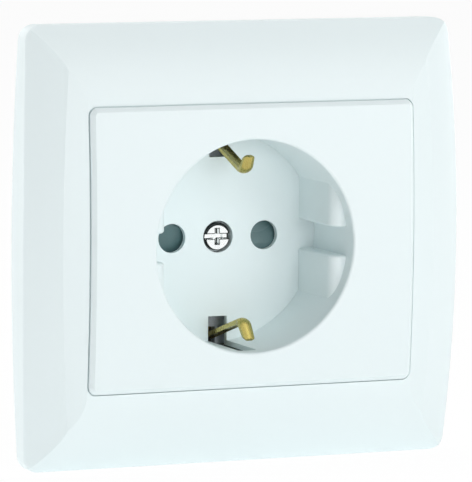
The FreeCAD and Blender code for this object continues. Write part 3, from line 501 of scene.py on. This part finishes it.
def bright_screw():
    """Bright plating, with painted shade in black round the cover screw's head and along the edges of its
    slot and cross.
    """
    plating = finish_with("bright_screw", "drawn_metal",
                          {"Colour": (0.84, 0.87, 0.87), "Tarnish Colour": (0.7, 0.73, 0.73),
                           "Tarnish": 0.3, "Smoothest": 0.14, "Roughest": 0.26},
                          relief=0.004, Metallic=1.0)
    return darken(plating, "screw_shade", SCREW_SHADE_BLACK)


def plated_steel():
    return finish_with("plated_steel", "drawn_metal",
                       {"Colour": (0.62, 0.64, 0.67), "Tarnish Colour": (0.5, 0.52, 0.58),
                        "Tarnish": 0.6, "Smoothest": 0.34, "Roughest": 0.5},
                       relief=0.006, stretch=(0.3, 1.0, 2.0), Metallic=1.0)


def plated_clamp():
    return finish_with("plated_clamp", "drawn_metal",
                       {"Colour": (0.62, 0.6, 0.5), "Tarnish Colour": (0.5, 0.45, 0.3),
                        "Tarnish": 0.5, "Smoothest": 0.26, "Roughest": 0.42},
                       relief=0.006, Metallic=1.0)


def spring_steel():
    return finish_with("spring_steel", "drawn_metal",
                       {"Colour": (0.5, 0.5, 0.5), "Tarnish Colour": (0.36, 0.34, 0.33),
                        "Tarnish": 0.4, "Smoothest": 0.25, "Roughest": 0.38},
                       relief=0.003, Metallic=1.0)


def all_finishes():
    makers = (white_cover, grey_shutter, insulating_disc, base_moulding, earth_brass, contact_bronze,
              bright_screw, plated_steel, plated_clamp, spring_steel)
    return {maker.__name__: maker() for maker in makers}


def dress_nodes(finishes):
    """Each CAD node gets the finish of its slot in the record."""
    for row in frame["record"]["subparts"]:
        piece = frame["nodes"][row["node"]]
        for place in piece.material_slots:
            place.material = finishes[row["material_slot"]]


def new_piece(name, shape, finish, body):
    """A piece of the socket made from a bmesh, which rides on a body."""
    mesh = bpy.data.meshes.new(name)
    shape.to_mesh(mesh)
    shape.free()
    mesh.materials.append(finish)
    piece = bpy.data.objects.new(name, mesh)
    bpy.context.scene.collection.objects.link(piece)
    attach(piece, body)
    return piece


def everything(shape):
    return shape.verts[:] + shape.edges[:] + shape.faces[:]


def cut_flat(shape, level, side):
    """Takes off what lies beyond a level on the Y axis, on one side of it, and closes the cut."""
    cut = bmesh.ops.bisect_plane(shape, geom=everything(shape), plane_co=(0, level, 0),
                                 plane_no=(0, side, 0), clear_outer=True)["geom_cut"]
    rim = [part for part in cut if isinstance(part, bmesh.types.BMEdge)]
    bmesh.ops.holes_fill(shape, edges=rim)


def crease_edges(shape):
    """Smooth faces, with sharp edges where they meet at an angle."""
    for face in shape.faces:
        face.smooth = True
    for edge in shape.edges:
        edge.smooth = edge.calc_face_angle(0.0) < SHARP_EDGE


def thread_along_y(x, z, start, end, crest):
    """A screw thread: one ridge wound up the Y axis, its turns merged and its ends cut flat."""
    shape = bmesh.new()
    first = start - THREAD_RUN_IN * THREAD_PITCH
    turns = math.ceil((end - start) / THREAD_PITCH) + THREAD_SPARE_TURNS
    ridge = [shape.verts.new((x + crest - sunk, first + THREAD_PITCH * along, z))
             for along, sunk in ((0, THREAD_DEPTH), (0.5, 0), (1, THREAD_DEPTH))]
    flanks = [shape.edges.new(pair) for pair in zip(ridge, ridge[1:])]
    bmesh.ops.spin(shape, geom=ridge + flanks, cent=(x, 0, z), axis=(0, 1, 0), angle=math.tau * turns,
                   dvec=(0, THREAD_PITCH / THREAD_STEPS, 0), steps=turns * THREAD_STEPS)
    bmesh.ops.remove_doubles(shape, verts=shape.verts, dist=MERGE_DISTANCE)
    cut_flat(shape, start, -1)
    cut_flat(shape, end, 1)
    bmesh.ops.recalc_face_normals(shape, faces=shape.faces)
    return shape


def make_claw_screw(side, finish):
    """A claw screw with its CAD head and neck, and a thread that begins a pitch inside the neck."""
    node_name = "claw_screw_" + side
    low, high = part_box(node_name)
    middle_x, middle_z = (low[0] + high[0]) / 2, (low[2] + high[2]) / 2
    thread = thread_along_y(middle_x, middle_z, CLAW_NECK_END - THREAD_PITCH, high[1],
                            CLAW_THREAD_RADIUS)
    wound = bpy.data.meshes.new("wound_thread")
    thread.to_mesh(wound)
    thread.free()
    shape = bmesh.new()
    shape.from_mesh(frame["nodes"][node_name].data)
    bmesh.ops.remove_doubles(shape, verts=shape.verts, dist=MERGE_DISTANCE)
    cut_flat(shape, CLAW_NECK_END, 1)
    shape.from_mesh(wound)
    bpy.data.meshes.remove(wound)
    crease_edges(shape)
    piece = new_piece("threaded_claw_screw_" + side, shape, finish, "insert")
    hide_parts(node_name)


def make_return_spring(finish):
    """The shutter's coil, with a closed turn at each end, between its post and the lug."""
    low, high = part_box("shutter_spring")
    centre = [(a + b) / 2 for a, b in zip(low, high)]
    wire = SPRING_WIRE / 2
    reach = (high[0] - low[0]) / 2 - wire
    shape = bmesh.new()
    upright = Matrix.Rotation(math.pi / 2, 4, "X")
    start = Matrix.Translation((centre[0] + reach, centre[1], low[2] + wire)) @ upright
    bmesh.ops.create_circle(shape, cap_ends=True, segments=SPRING_SIDES, radius=wire, matrix=start)
    rise = high[2] - low[2] - SPRING_WIRE
    closed = SPRING_WIRE * SPRING_CLOSED_PITCH * SPRING_END_TURNS
    end = everything(shape)
    for turns, climb in ((SPRING_END_TURNS, closed), (SPRING_ACTIVE_TURNS, rise - 2 * closed),
                         (SPRING_END_TURNS, closed)):
        steps = turns * SPRING_STEPS
        end = bmesh.ops.spin(shape, geom=end, cent=centre, axis=(0, 0, 1), angle=math.tau * turns,
                             dvec=(0, 0, climb / steps), steps=steps)["geom_last"]
    bmesh.ops.recalc_face_normals(shape, faces=shape.faces)
    for face in shape.faces:
        is_cap = len(face.verts) == SPRING_SIDES
        face.smooth = not is_cap
    piece = new_piece("shutter_return_spring", shape, finish, "insert")
    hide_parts("shutter_spring")
    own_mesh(piece)


def light_scene():
    make_world()
    make_floor()
    for name, location, size, power in LAMPS:
        make_lamp(name, location, size, power)


finishes = all_finishes()
dress_nodes(finishes)
make_return_spring(finishes["spring_steel"])
for side in ("left", "right"):
    make_claw_screw(side, finishes["bright_screw"])
light_scene()
make_camera()
bpy.context.scene.view_settings.view_transform = "Standard"
